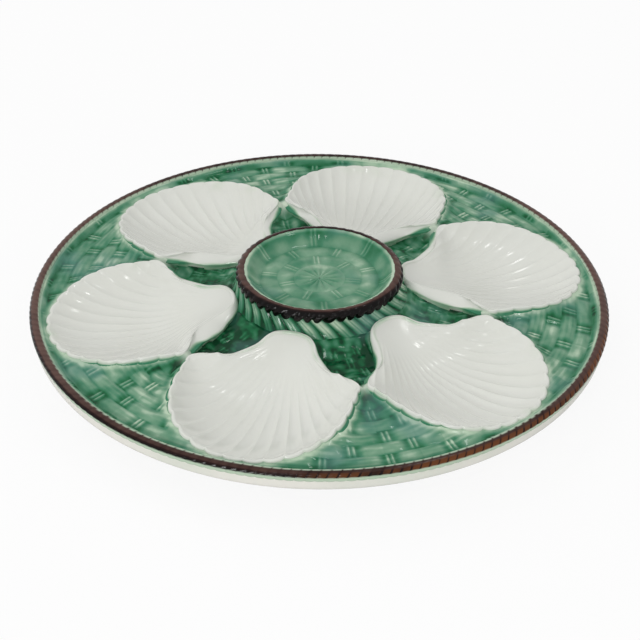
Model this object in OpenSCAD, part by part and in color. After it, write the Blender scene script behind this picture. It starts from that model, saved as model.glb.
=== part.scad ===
// Oyster plate in glazed earthenware.
// Six scallop wells stand round a raised sauce well on a basket-weave ground.
// A moulded rope runs round the rim and another round the sauce well.
// Lengths are in millimetres. The foot stands on z = 0 and the first shell lies along +x.

/* [Plate] */
// outside diameter over the rim rope
plate_d = 250; // [210:1:300]
// height from the table to the top of the rope round the sauce well
plate_h = 34.5; // [33:0.5:40]
// height from the table to the middle of the rim rope
rim_h = 20; // [19:0.5:22]
// height from the table to the flat back of the plate
back_h = 13.2; // [12:0.2:14]
// thickness of the white layer on the back
back_t = 2.6; // [2:0.1:3]

/* [Rim rope] */
// width of the rim rope, measured towards the middle of the plate
rim_rope_w = 4.4; // [4:0.1:7]
// height of the rim rope
rim_rope_t = 4.5; // [4:0.1:6]
// number of strands round the rim rope
rim_strands = 180; // [120:1:200]
// depth of the grooves between the strands
rim_strand_cut = 0.5; // [0.2:0.1:0.8]

/* [Shell wells] */
// height from the table to the floor of the wells
well_floor_h = 11.5; // [10:0.1:12.5]
// thickness of the pottery under the deepest part of a well
well_t = 4.5; // [3.5:0.1:5.5]
// height of the side lips above the middle of the rim rope
side_lip_up = 4.9; // [4:0.1:6]
// height of the far lip above the middle of the rim rope
far_lip_up = 0; // [-0.2:0.1:1.5]
// number of lobes round the fan of a shell
lobes = 19; // [13:2:21]
// how far a lobe swells out between its two notches
lobe_swell = 1.2; // [0.4:0.1:1.8]
// height of the ridges between the flutes
ridge_h = 0.6; // [0.3:0.1:1.2]
// width of the rounded lip round the fan
lip_w = 1.8; // [1.2:0.1:2.6]
// width of the broad soft lip round the hinge
neck_lip_w = 3.4; // [2:0.1:4]

/* [Sauce well] */
// diameter of the opening inside the collar rope
sauce_d = 63.2; // [54:0.2:66]
// depth of the sauce well below the top of its rope
sauce_deep = 6.3; // [5:0.1:8]
// width of the collar rope
collar_rope_w = 4.4; // [3.6:0.1:5]
// height of the collar rope
collar_rope_t = 4.5; // [3.6:0.1:5]
// number of strands round the collar rope
collar_strands = 48; // [36:1:60]
// depth of the grooves between the strands of the collar rope
collar_strand_cut = 0.5; // [0.2:0.1:0.8]
// number of leaf strokes round the collar band
strokes = 35; // [24:1:40]
// depth of the leaf strokes
stroke_cut = 0.8; // [0.3:0.1:1]

/* [Foot] */
// outside diameter of the foot ring where it meets the back
foot_d = 135; // [124:1:144]
// width of the foot ring where it meets the back
foot_w = 8; // [6:0.5:12]

/* [Weave] */
// number of woven rows between the shells and the rim
weave_rows = 5; // [3:1:6]
// number of stake crossings round one row
stakes = 28; // [20:1:36]
// distance between the two stakes of a crossing
stake_gap = 1.8; // [1:0.1:2.4]
// depth of the furrows between rows and beside stakes
furrow = 0.6; // [0.2:0.1:0.8]
// number of stake crossings round one row in the sauce well
well_stakes = 7; // [5:1:9]

/* [Hidden] */
plate_r = plate_d / 2;
shells = 6;
turn = 360 / shells;

// seats of the ropes
rim_seat_r = plate_r - rim_rope_w;
rim_seat_h = rim_h - rim_rope_t / 2;
edge_inset = 1;
edge_r = plate_r - edge_inset;
edge_round = 1.6;
collar_in_r = sauce_d / 2;
collar_out_r = collar_in_r + collar_rope_w;
collar_seat_h = plate_h - collar_rope_t;
sauce_wall_r = collar_in_r + collar_rope_w * 0.3;
sauce_floor_h = plate_h - sauce_deep;
sauce_t = 4;
crown_h = sauce_floor_h - sauce_t;
clear = 1.0002;

// the band below the collar rope, and the ground from its foot out to the rim rope
band_spread = 2.6;
band_foot_r = collar_out_r + band_spread;
band_rows = 4;
band_steps = 3;
ground_w = rim_seat_r - band_foot_r;

// ground: share of the way out from the band's foot, then share of the height from back to rim rope
ground_share = [[0.012, 1.36], [0.0414, 1.1], [0.0904, 0.93], [0.2007, 0.85], [0.3356, 0.82],
    [0.4153, 0.9], [0.4643, 1.1], [0.5991, 1.04], [0.7524, 0.94], [0.9608, 0.76]];
ground_edge_share = 0.81;
ground_foot_share = 1.47;
furrow_half = 0.7;
stake_cut_w = 0.8;
weave_in_share = 0.5808;
weave_out_share = 0.9608;
weave_in_r = band_foot_r + ground_w * weave_in_share;
weave_pitch = ground_w * (weave_out_share - weave_in_share) / weave_rows;
weave_cut_h = ground_z(lookup(weave_out_share, ground_share)) - furrow;

// the hollow under the raised middle
dome_in = 8;
dome_r = sauce_wall_r - dome_in;
dome_t = 2.7;
shoulder_w = 1.9;
shoulder_r = band_foot_r + shoulder_w;
flat_w = 6.5;
flat_r = shoulder_r + flat_w;
ground_t = 2;
band_low_h = ground_z(ground_at(shoulder_r)) - ground_t;

// woven rings on the floor of the sauce well, round a star
star_r = collar_in_r * 0.347;
floor_rows = 2;
floor_pitch = collar_in_r * 0.231;

// a shell reaches from the band to just inside the rim rope
tip_gap = 0.9;
far_gap = 2.2;
tip_r = collar_out_r + tip_gap;
shell_len = plate_r - rim_rope_w - far_gap - tip_r;

// shell outline in shares of its length from the tip of the hinge: the side, from the ear to the tip
side_share = [[0.3169, 0.3884], [0.2922, 0.3107], [0.2478, 0.2441], [0.1862, 0.1924],
    [0.1245, 0.1529], [0.0678, 0.127], [0.0284, 0.0937], [0.0062, 0.0493]];
apex_r = tip_r + shell_len * 0.0136;
fan_mid = shell_len * 0.5364;
fan_r = shell_len * 0.4501;
fan_half_angle = 55;
ear_from_angle = 38;
ear_reach = shell_len * 0.143;
ear_pow = 2.6;
lobe_steps = 3;
fan_n = lobes * lobe_steps;
fan_step_angle = 2 * fan_half_angle / fan_n;

// the shell is drawn out sideways until its ears almost meet the next shells
ear_gap = 0.54;
ear_share = [0.3237, 0.443];
spread = ((tip_r + shell_len * ear_share.x) * tan(turn / 2) - ear_gap) / (shell_len * ear_share.y);

// shape of the bowl: it is deepest at the middle, and its rings close in on the pole
middle = [tip_r + shell_len * 0.5561, 0];
pole = [tip_r + shell_len * 0.1615, 0];
bowl_pow = 1.25;
under_pow = 1.4;
slope_from = tip_r + shell_len * 0.5314;
slope_to = tip_r + shell_len * 0.9877;
slope_pow = 1.3;
lip_fall = 1;
neck_fall = 1.6;
neck_from = tip_r + shell_len * 0.3157;
neck_over = shell_len * 0.0925;
bowl_rings = [0.86, 0.68, 0.5, 0.32, 0.16];
under_rings = [0.76, 0.42];
ridge_from = 0.3;
cut_top = 2 * plate_h;

function ground_z(share) = back_h + (rim_h - back_h) * share;
function ground_at(r) = lookup((r - band_foot_r) / ground_w, ground_share);

// radius of the fan about the apex of the hinge at an angle from its axis
function ear(a) = abs(a) < ear_from_angle ? 0
    : ear_reach * pow((abs(a) - ear_from_angle) / (fan_half_angle - ear_from_angle), ear_pow);
function fan_base(a) = fan_mid * cos(a)
    + sqrt(fan_r * fan_r - pow(fan_mid * sin(a), 2)) + ear(a);
function swell(i) = i % lobe_steps == 0 ? -lobe_swell / 2 : lobe_swell / 2;
function fan_point(i) =
    let (a = -fan_half_angle + i * fan_step_angle, r = fan_base(a) + swell(i))
    [apex_r + r * cos(a), r * sin(a) * spread];
function side_point(k, way) =
    [tip_r + side_share[k].x * shell_len, side_share[k].y * shell_len * spread * way];

side_n = len(side_share);
outline = concat(
    [for (i = [0:fan_n]) fan_point(i)],
    [for (k = [0:side_n - 1]) side_point(k, 1)],
    [[tip_r, 0]],
    [for (k = [side_n - 1:-1:0]) side_point(k, -1)]);
out_n = len(outline);

function neck(i) = i <= fan_n ? 0 : max(0, min(1, (neck_from - outline[i].x) / neck_over));
function lip_at(i) = lip_w + (neck_lip_w - lip_w) * neck(i);
function fall_at(i) = lip_fall + (neck_fall - lip_fall) * neck(i);
function lip_z(u) = rim_h + side_lip_up - (u < slope_from ? 0
    : (side_lip_up - far_lip_up) * pow(min(1, (u - slope_from) / (slope_to - slope_from)), slope_pow));
seat_z = [for (i = [0:out_n - 1]) lip_z(outline[i].x) - fall_at(i)];
ones = [for (i = [0:out_n - 1]) 1];

// weight of each outline side as seen from a point: the angle that it fills over its distance
function cross2(a, b) = a.x * b.y - a.y * b.x;
function angles(p) = [for (i = [0:out_n - 1])
    let (a = outline[i] - p, b = outline[(i + 1) % out_n] - p) atan2(cross2(a, b), a * b)];
function weights(p) = let (t = angles(p)) [for (i = [0:out_n - 1])
    t[i] / norm((outline[i] + outline[(i + 1) % out_n]) / 2 - p)];
function inside(p) = angles(p) * ones > 180;

// a soft distance from the outline, 0 on it and 1 at the middle of the well
function room(p) = 360 / PI / (weights(p) * ones);
most_room = room(middle);
function share(p, from) = max(0, min(1, (room(p) - from) / (most_room - from)));
function bowl_z(p) =
    let (w = weights(p), lip = w * seat_z / (w * ones))
    lip - (lip - well_floor_h) * (1 - pow(1 - share(p, lip_w), bowl_pow));
function under_z(p) = back_h
    - (back_h - well_floor_h + well_t) * (1 - pow(1 - share(p, 0), under_pow));

function inset(i, d) = let (p = outline[i], v = (pole - p) / norm(pole - p)) p + v * d;
function toward(i, e) = pole + (inset(i, lip_at(i)) - pole) * e;
function notch(i) = i <= fan_n && i % lobe_steps == 0 ? 1 : 0;
function ridge(i, e) = ridge_h * notch(i) * max(0, min(1, (e - ridge_from) / (1 - ridge_from)));
function with_z(p, z) = [p.x, p.y, z];

// rings run from the pole underneath out to the wall, over the lip and back to the pole
shell_rings = concat(
    [for (k = [len(under_rings) - 1:-1:0]) [for (p = outline)
        let (q = pole + (p - pole) * under_rings[k]) with_z(q, under_z(q))]],
    [[for (p = outline) with_z(p, back_h)]],
    [[for (i = [0:out_n - 1]) with_z(outline[i], seat_z[i])]],
    [[for (i = [0:out_n - 1]) with_z(inset(i, lip_at(i) * 0.45), seat_z[i] + fall_at(i))]],
    [[for (i = [0:out_n - 1]) with_z(toward(i, 1), bowl_z(toward(i, 1)))]],
    [for (e = bowl_rings) [for (i = [0:out_n - 1])
        with_z(toward(i, e), bowl_z(toward(i, e)) + ridge(i, e))]]);
ring_n = len(shell_rings);
shell_points = concat([for (r = shell_rings) each r],
    [with_z(pole, under_z(pole)), with_z(pole, bowl_z(pole))]);
low_mid = ring_n * out_n;
high_mid = low_mid + 1;
shell_faces = concat(
    [for (i = [0:out_n - 1]) [low_mid, i, (i + 1) % out_n]],
    [for (k = [0:ring_n - 2], i = [0:out_n - 1]) let (j = (i + 1) % out_n)
        [k * out_n + i, (k + 1) * out_n + i, (k + 1) * out_n + j]],
    [for (k = [0:ring_n - 2], i = [0:out_n - 1]) let (j = (i + 1) % out_n)
        [k * out_n + i, (k + 1) * out_n + j, k * out_n + j]],
    [for (i = [0:out_n - 1]) [(ring_n - 1) * out_n + i, high_mid, (ring_n - 1) * out_n + (i + 1) % out_n]]);

// the foot follows the underside of the wells just below it
foot_sides = 72;
foot_round = 0.9;
foot_gap = 0.2;
function in_shell(r, a) = let (b = a - turn * round(a / turn)) [r * cos(b), r * sin(b)];
function under_at(r, a) = let (p = in_shell(r, a)) inside(p) ? under_z(p) - foot_gap : back_h;

// closed ring swept from sections, each section a list of [radius, height]
function ring_points(sections) = [for (k = [0:len(sections) - 1], p = sections[k])
    let (a = 360 * k / len(sections)) [p.x * cos(a), p.x * sin(a), p.y]];
function ring_faces(n, m) = concat(
    [for (k = [0:n - 1], j = [0:m - 1]) let (q = (k + 1) % n, l = (j + 1) % m)
        [k * m + j, q * m + l, q * m + j]],
    [for (k = [0:n - 1], j = [0:m - 1]) let (q = (k + 1) % n, l = (j + 1) % m)
        [k * m + j, k * m + l, q * m + l]]);

module ring_of(sections) {
    polyhedron(points = ring_points(sections),
        faces = ring_faces(len(sections), len(sections[0])), convexity = 10);
}

module shell_cuts() {
    for (k = [0:shells - 1])
        rotate([0, 0, k * turn])
            linear_extrude(height = cut_top)
                polygon(outline);
}

module one_shell(k) {
    rotate([0, 0, k * turn])
        polyhedron(points = shell_points, faces = shell_faces, convexity = 10);
}

module woven_ground() {
    color([0.36, 0.6, 0.47])
        difference() {
            rotate_extrude($fn = 180)
                difference() {
                    polygon(concat(
                        [[band_foot_r, band_low_h], [band_foot_r, ground_z(ground_foot_share)]],
                        [for (g = ground_share) [band_foot_r + g.x * ground_w, ground_z(g.y)]],
                        [[rim_seat_r, ground_z(ground_edge_share)], [rim_seat_r, back_h + back_t],
                         [flat_r, back_h + back_t], [shoulder_r, band_low_h]]));
                    for (k = [0:weave_rows - 1])
                        translate([weave_in_r + k * weave_pitch, ground_z(1)])
                            furrow_cut(k);
                }
            shell_cuts();
            stake_cuts();
        }
}

// furrows on both sides of each pair of stakes, which stand staggered from row to row
module stake_cuts() {
    for (k = [0:weave_rows - 1], j = [0:stakes - 1]) {
        r = weave_in_r + (k + 0.5) * weave_pitch;
        a = (j + (k % 2) / 2) * 360 / stakes;
        if (!inside(in_shell(r, a)))
            rotate([0, 0, a])
                for (side = [-1, 1])
                    translate([r, side * stake_gap, weave_cut_h + cut_top / 2])
                        cube([weave_pitch * 0.8, stake_cut_w, cut_top], center = true);
    }
}

// a narrow V between two woven rows
module furrow_cut(k) {
    top = ground_at(weave_in_r + k * weave_pitch);
    polygon([[0, (rim_h - back_h) * (top - 1) - furrow],
        [furrow_half, (rim_h - back_h) * (top - 1) + furrow],
        [-furrow_half, (rim_h - back_h) * (top - 1) + furrow]]);
}

module white_back() {
    color([0.9, 0.91, 0.86])
        difference() {
            rotate_extrude($fn = 180)
                polygon([[0, crown_h - dome_t], [dome_r, crown_h - dome_t],
                    [sauce_wall_r, band_low_h - back_t * 0.8],
                    [shoulder_r, band_low_h - back_t], [flat_r, back_h],
                    [edge_r - edge_round, back_h], [edge_r, back_h + edge_round],
                    [edge_r, rim_seat_h], [rim_seat_r, rim_seat_h],
                    [rim_seat_r, back_h + back_t], [flat_r, back_h + back_t],
                    [shoulder_r, band_low_h], [sauce_wall_r, band_low_h],
                    [sauce_wall_r, crown_h], [0, crown_h]]);
            shell_cuts();
        }
}

module foot_ring() {
    out = foot_d / 2;
    step = 360 / foot_sides;
    color([0.87, 0.88, 0.83])
        ring_of([for (i = [0:foot_sides - 1])
            [[out - foot_w * 0.75, 0], [out - foot_w * 0.88, foot_round],
             [out - foot_w, under_at(out - foot_w, i * step)],
             [out - foot_w / 2, under_at(out - foot_w / 2, i * step)],
             [out, under_at(out, i * step)],
             [out - foot_w * 0.12, foot_round], [out - foot_w * 0.25, 0]]]);
}

module rim_rope() {
    seat = rim_seat_r * clear;
    mid = (rim_seat_r + plate_r) / 2;
    color([0.25, 0.13, 0.1])
        ring_of([for (i = [0:2 * rim_strands - 1])
            let (c = (i % 2) * rim_strand_cut)
            [[seat, rim_seat_h], [seat + c * 0.4, rim_seat_h + rim_rope_t * 0.72 - c],
             [mid, rim_seat_h + rim_rope_t - c], [plate_r - c, rim_seat_h + rim_rope_t * 0.5],
             [edge_r, rim_seat_h]]]);
}

module collar_rope() {
    n = collar_strands * 2;
    color([0.22, 0.12, 0.1])
        ring_of([for (i = [0:n - 1])
            let (c = (i % 2) * collar_strand_cut, d = collar_strand_cut - c)
            [[sauce_wall_r * clear, collar_seat_h],
             [sauce_wall_r * clear, collar_seat_h + collar_rope_t * 0.7],
             [collar_in_r, collar_seat_h + collar_rope_t * 0.7],
             [collar_in_r + collar_rope_w * 0.15, plate_h - collar_rope_t * 0.08 - c * 0.5],
             [collar_in_r + collar_rope_w * 0.55, plate_h - c],
             [collar_out_r - d, collar_seat_h + collar_rope_t * 0.55],
             [collar_out_r - collar_rope_w * 0.1 - d, collar_seat_h]]]);
}

// flared band with slanting leaf strokes, cut away where the shells tuck in
module collar_band() {
    n = strokes * band_steps;
    low_r = band_foot_r / clear;
    top_r = collar_out_r - collar_rope_w * 0.12;
    foot_z = ground_z(ground_foot_share);
    color([0.4, 0.66, 0.5])
        difference() {
            ring_of([for (i = [0:n - 1]) concat(
                [[sauce_wall_r * clear, band_low_h], [sauce_wall_r * clear, collar_seat_h]],
                [for (j = [0:band_rows - 1])
                    let (s = j / (band_rows - 1),
                        r = top_r + (low_r - top_r) * s * s,
                        w = (i + (band_steps - 1) * j) % band_steps == 0 ? stroke_cut : 0)
                    [r - w * (j == band_rows - 1 ? 0 : 1), collar_seat_h + (foot_z - collar_seat_h) * s]],
                [[low_r, band_low_h]])]);
            shell_cuts();
        }
}

module sauce_well() {
    wall_top = collar_seat_h + collar_rope_t * 0.7;
    color([0.42, 0.68, 0.54])
        difference() {
            rotate_extrude($fn = 120)
                difference() {
                    polygon([[0, crown_h], [sauce_wall_r, crown_h], [sauce_wall_r, wall_top],
                        [collar_in_r, wall_top],
                        [collar_in_r - sauce_deep * 0.12, wall_top - sauce_deep * 0.3],
                        [collar_in_r - sauce_deep * 0.36, sauce_floor_h + sauce_deep * 0.14],
                        [collar_in_r - sauce_deep * 0.7, sauce_floor_h], [0, sauce_floor_h]]);
                    for (k = [0:floor_rows - 1])
                        translate([star_r + k * floor_pitch, sauce_floor_h])
                            polygon([[0, -furrow], [furrow_half, furrow], [-furrow_half, furrow]]);
                }
            star_cuts();
        }
}

// rays of the star, and the stake pairs of the two woven rings round it
module star_cuts() {
    for (j = [0:2 * well_stakes - 1])
        rotate([0, 0, j * 180 / well_stakes])
            translate([star_r * 0.6, 0, sauce_floor_h])
                cube([star_r * 0.7, stake_cut_w, furrow], center = true);
    for (k = [0:floor_rows - 1], j = [0:well_stakes - 1])
        rotate([0, 0, (j + k / 2) * 360 / well_stakes])
            for (side = [-1, 1])
                translate([star_r + (k + 0.5) * floor_pitch, side * stake_gap, sauce_floor_h])
                    cube([floor_pitch * 0.8, stake_cut_w, furrow * 2], center = true);
}

module shell_well_1() {
    color([0.93, 0.93, 0.9]) one_shell(0);
}

module shell_well_2() {
    color([0.93, 0.93, 0.9]) one_shell(1);
}

module shell_well_3() {
    color([0.93, 0.93, 0.9]) one_shell(2);
}

module shell_well_4() {
    color([0.93, 0.93, 0.9]) one_shell(3);
}

module shell_well_5() {
    color([0.93, 0.93, 0.9]) one_shell(4);
}

module shell_well_6() {
    color([0.93, 0.93, 0.9]) one_shell(5);
}

woven_ground();
white_back();
foot_ring();
rim_rope();
collar_rope();
collar_band();
sauce_well();
shell_well_1();
shell_well_2();
shell_well_3();
shell_well_4();
shell_well_5();
shell_well_6();
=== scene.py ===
import math
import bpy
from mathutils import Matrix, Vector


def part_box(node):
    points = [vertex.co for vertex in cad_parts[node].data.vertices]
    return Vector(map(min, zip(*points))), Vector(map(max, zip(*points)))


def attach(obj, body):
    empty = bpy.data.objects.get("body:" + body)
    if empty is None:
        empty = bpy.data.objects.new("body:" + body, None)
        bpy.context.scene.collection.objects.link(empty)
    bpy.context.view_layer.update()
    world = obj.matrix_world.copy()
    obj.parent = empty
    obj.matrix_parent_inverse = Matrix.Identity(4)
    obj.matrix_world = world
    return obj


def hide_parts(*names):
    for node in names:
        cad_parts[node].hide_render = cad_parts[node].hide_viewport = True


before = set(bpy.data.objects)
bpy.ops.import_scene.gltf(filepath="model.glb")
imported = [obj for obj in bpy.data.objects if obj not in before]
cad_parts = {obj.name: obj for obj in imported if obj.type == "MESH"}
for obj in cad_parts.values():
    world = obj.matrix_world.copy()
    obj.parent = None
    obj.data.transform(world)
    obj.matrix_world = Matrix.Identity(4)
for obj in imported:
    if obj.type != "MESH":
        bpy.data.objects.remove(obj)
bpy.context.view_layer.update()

from types import SimpleNamespace

import bpy
import numpy as np
from mathutils import Matrix, Vector

# Lengths are in millimetres and angles in degrees, in the plate's own frame.
# A piece's points become metres when its mesh is made.
MM = 0.001
SHELLS = 6
TURN = 360 / SHELLS

# An azimuth in the photograph's frame is this much more than in the plate's.
PHOTO_TURN = 13.9

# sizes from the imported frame
plate_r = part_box("rim_rope")[1][0] / MM
plate_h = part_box("collar_rope")[1][2] / MM
rope_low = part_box("rim_rope")[0][2] / MM
rope_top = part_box("rim_rope")[1][2] / MM
rim_h = (rope_low + rope_top) / 2
back_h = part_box("white_back")[0][2] / MM
edge_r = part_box("white_back")[1][0] / MM
collar_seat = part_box("collar_rope")[0][2] / MM
collar_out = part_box("collar_rope")[1][0] / MM
band_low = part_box("collar_band")[0][2] / MM
band_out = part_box("collar_band")[1][0] / MM
foot_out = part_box("foot_ring")[1][0] / MM

# outline of a shell in plan: a fan of lobes about the apex of its hinge, flared into ears
APEX = plate_r * 0.304
FAN_MID = plate_r * 0.348
FAN_R = plate_r * 0.292
FAN_HALF = 55
LOBES = 19
LOBE_STEPS = 16
LOBE_SWELL = 1.1
LOBE_POW = 2.6
EAR_FROM = 38
EAR_POW = 2.6
EAR_REACH = plate_r * 0.0928
EAR_SOFT = 5

# the neck's side, from the ear to the tip of the hinge, as shares of the plate's radius
SIDE = [[0.5008, 0.252], [0.4848, 0.2016], [0.456, 0.1584], [0.416, 0.1248],
        [0.376, 0.0992], [0.3392, 0.0824], [0.3136, 0.0608], [0.2992, 0.032]]
TIP = [0.2952, 0.0]
SIDE_STEPS = 7
SOFT_ROUNDS = 90

# the place that a shell's rings shrink to, and the middle of its bowl
POLE = np.array([plate_r * 0.4, 0.0])
MIDDLE = np.array([plate_r * 0.656, 0.0])
POLE_SHARE = 0.001

# rings of a shell on its underside, wall, lip, bowl's edge and bowl's floor, and where that floor begins
UNDER_RINGS, WALL_RINGS, LIP_RINGS, EDGE_RINGS, FLOOR_RINGS = 15, 14, 12, 26, 40
FLOOR_BEGINS = 0.7
BOWL_BEGINS = (-0.02, 0.05)

# stretches of a shell's axis, from and to, as shares of the plate's radius
TIP_ENDS = (0.3, 0.34)
DIP_BEGINS = (0.31, 0.39)
DIP_ENDS = (0.44, 0.52)
BESIDE_NECK = (0.32, 0.41)
HINGE_ENDS = (0.36, 0.62)
CREST_NARROWS = (0.42, 0.54)
FAN_BEGINS = (0.44, 0.5)
SKIRT_ENDS = (0.47, 0.512)

# the lip, which dips beside the neck and falls from the sides to the rim
LIP_R = 0.9
LIP_END = 145
SIDE_LIP = rim_h + 4.9
FAR_LIP = rim_h
SLOPE_FROM = plate_r * 0.64
SLOPE_TO = plate_r * 0.936
SLOPE_POW = 1.3
NECK_DIP = 1.8

# the bowl, its flutes and the underside
WELL_FLOOR = 11.5
WELL_WALL = 4.5
HINGE_RISE = 2.5
BOWL_POW = 1.25
UNDER_POW = 1.4
FAN_CREST = 1.25
FAN_SOFT = 0.35
NECK_CREST = 3.6
NECK_SOFT = 2.4
RIDGE = 0.7
RIDGE_POW = 2.2
RIDGE_MEAN = 0.31
RIDGE_BEGINS = (0.15, 0.7)
RIDGE_EDGE = (-1, 4)

# the outer wall, whose foot stands out from the outline and spreads into a skirt beside the neck
WALL_FOOT = 1.2
NECK_FLARE = 5.8
EAR_FLARE = 0.15
EAR_AT = plate_r * 0.47
EAR_WIDTH = 4.5
EAR_ROUNDS = 30
WALL_BEND = 0.55
FAN_STEEP, NECK_STEEP = 0.3, 0.5
TIP_TUCK = 0.8
TIP_DROP = 3.4
WALL_SINK = 0.8
SHORE_FAR = 0.8
SHORE_SIDE = 1.9

# each shell's own skirt to the left and right of its axis, as shares of the widest
SKIRT_SHARES = [(0.5, 0.9), (0.5, 0.7), (0.9, 0.5), (1.0, 0.5), (0.3, 0.3), (0.3, 0.35)]
ACROSS_AXIS = (-2, 2)

# how far down the wall a shell's white glaze reaches, and the wall glaze's share at the lip's two ends
WHITE_LEVEL = -0.05
WHITE_REACH = {"skirt": 0.25, "front": 0.5, "notch": 0.3}
WHITE_ROUNDS = 20
NOTCH_AT = plate_r * 0.48
NOTCH_WIDTH = plate_r * 0.025
LIP_GLAZE = (0.98, 0.6)
EDGE_GLAZE = (0.88, 1)

# ground: places along a radius, as shares of the plate's radius and of the height from the back to the rim
GROUND = [[0.3168, 1.36], [0.336, 1.1], [0.368, 0.86], [0.44, 0.66], [0.528, 0.62],
          [0.58, 0.8], [0.612, 1.1], [0.7, 1.04], [0.8, 0.94], [0.936, 0.76], [0.9584, 0.81]]
GROUND_ROWS, GROUND_COLS = 128, 1320
ROPE_W = 4.3
ROPE_IN = plate_r - ROPE_W
POCKET_ENDS = (64, 76)
POCKET_WEAVE = 0.6
DENT_H = 0.35
UNEVEN_H = 0.15
STREAK_H = 0.07
SHORE_REACH = 3.6
SHORE_POW = 1.4
RIM_RISE = 1.8
RIM_RISES = (-3.4, 0.2)
RIM_DARKENS = (-7, -2)
RIM_CLEARS = (0.3, 1.3)
RIM_POOL = 0.1
VALLEY_AT = 2.9
VALLEY_SWAY = 0.8
VALLEY_W = 1.5
HALO_W = 2.6
BRIDGE_AT = plate_r * 0.588
BRIDGE_W = 3.4
BRIDGE_ENDS = (0.5, 6.5)
BRIDGE_WHITENESS = 0.65
BELOW_BRIDGE_AT = plate_r * 0.63
BELOW_BRIDGE_W = 4.5
BELOW_BRIDGE_ENDS = (1.5, 6)
BELOW_BRIDGE_POOL = 0.45
BRIDGE_RISE = 1.5

# weave of the ground: rows of strips round the plate, and pairs of stakes across them
WEAVE_H = 0.7
WEAVE_SINK = 0.3
ROW_PITCH = 6.4
ROW_FIRST = 114.6
STAKES = 28
STAKE_GAP = 2.3
STRIP_BEGINS = (-0.4, 3.2)
STRIP_POW = 2.2
STRIP_WAIST = 0.3
STRIP_WAIST_W = 2.2
STAKE_H = 0.85
STAKE_AT = 0.42
STAKE_W = 0.24
WEAVE_BY_SHELL = (0.8, 4.0)
WEAVE_BY_ROPE = (0.6, 1.8)
WEAVE_BY_COLLAR = (41, 47)

# leaf band below the collar rope
BAND_ROWS, BAND_COLS = 40, 1200
BAND_TOP_R = collar_out - 0.5
BAND_TOP = collar_seat + 0.8
BAND_END = 1.08
BAND_POW = 2
LEAF_STROKES = 35
LEAF_LEAN = 1.2
LEAF_CUT = 1.0
LEAF_POW = 0.8
LEAF_ENDS = (0.75, 1.05)
MIDRIB_CUT = 0.25
MIDRIB_WIDTH = 0.07

# ropes
STRAND_STEPS = 10
STRAND_POW = 0.6
ROPE_ROUND = 22
ROPE_SQUARE = 2.6
AMBER_AT = -62
AMBER_ENDS = (30, 56)
AMBER_BELOW_AT = -124
AMBER_BELOW_ENDS = (25, 52)

# sauce well: the middles of its woven rows, each with its shift as a share of a strip
SAUCE_ROWS, SAUCE_COLS = 136, 720
SAUCE_R = collar_out - 4.4
SAUCE_FLOOR = plate_h - 6.3
SAUCE_EDGE = plate_h - 0.75
SAUCE_WALL = 5.2
SAUCE_FLOOR_SHARE = 0.8
SAUCE_STAKES = 7
SAUCE_TURN = 81.7
SAUCE_PITCH = 7.3
SAUCE_GAP = 2.1
SAUCE_RELIEF = 0.4
SAUCE_WEAVE = ((14.6, 0.0), (22.0, 0.5), (29.2, 0.0))
STAR_POW = 1.2
STAR_ENDS = (8.5, 11.0)
STAR_POOL_ENDS = (6, 11.0)
SAUCE_CLIMB = (-6, 1.2)
SAUCE_RING_AT = 25.8
SAUCE_RING_W = 1.8
SAUCE_PALE = (30.6, 32)
BEADS = 48
BEAD_R = 0.35
BEAD_FROM = SAUCE_R + 1.1

# back and foot
BACK_COLS, FOOT_COLS = 840, 720
BACK_SEAT = rope_low + 0.6
BACK_LOW = band_low - 2.6
BACK_CROWN = SAUCE_FLOOR - 6.7
BACK_ROUND = 3
EDGE_ROUND = 2.2
FOOT_W = 8.0
FOOT_SLANT = 1.6
FOOT_ROUND = 2.4
FOOT_SINK = 0.3
FOOT_BURY = 1.5
SECTION_STEP = 0.7
ROUND_STEPS = 6

# How far inside a shell's outline a face has to lie to be left out.
GROUND_INSET = 0.5
HIDDEN_INSET = 0.9

# How much each field adds to the green glaze's depth, from 0, thin and pale, to 1, deep and dark; a few
# fields, noted below, are painted shade and painted light instead.
GROUND_LEVEL = 0.27
# In the ground's fields, shade is painted shade in the pockets on the shadow side, and back is painted
# light in the pockets at the back.
GROUND_POOL_AND_SHADE = {"streaks": 0.14, "patches": 0.1, "between": 0.45, "stakes": -0.22, "valley": 0.55,
               "halo": -0.3, "pocket": 0.29, "blots": 0.3, "shade": 0.28, "back": -0.22, "rim": 0.13}
BAND_LEVEL = 0.92
# In the band's fields, left is painted shade on the band's left side.
BAND_POOL_AND_SHADE = {"leaf": -0.95, "midrib": 0.22, "left": 0.25, "foot": 0.3, "below_rope": 0.5}
SAUCE_LEVEL = 0.3
# In the sauce well's fields, the back wall's darkening is painted shade.
SAUCE_POOL_AND_SHADE = {"between": 0.32, "back_wall": 0.36, "ring": 0.14, "patches": 0.12, "rim": -0.45}

# glaze colours
GREEN_STOPS = [(0.0, (0.50, 0.64, 0.48)), (0.25, (0.19, 0.355, 0.235)), (0.5, (0.062, 0.23, 0.13)),
               (0.75, (0.011, 0.14, 0.052)), (1.0, (0.002, 0.05, 0.018))]
BLUE_GREEN = (0.12, 0.26, 0.25)
BRIDGE_WHITE = (0.74, 0.78, 0.68)
SHELL_WHITES = ((0.76, 0.77, 0.725), (0.73, 0.74, 0.68))
SHELL_GREENS = [(0.0, (0.68, 0.71, 0.60)), (0.45, (0.42, 0.58, 0.42)), (1.0, (0.03, 0.2, 0.1))]
CREAMS = ((0.78, 0.765, 0.705), (0.60, 0.67, 0.56))
# The brown ramp's taupe end colours the strands' tops: partly wear, partly painted sheen.
BROWN_STOPS = [(0.0, (0.002, 0.001, 0.001)), (0.4, (0.018, 0.005, 0.004)), (1.0, (0.12, 0.065, 0.052))]
AMBER = (0.135, 0.044, 0.013)
PALE_GREEN = (0.46, 0.58, 0.44)

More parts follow.
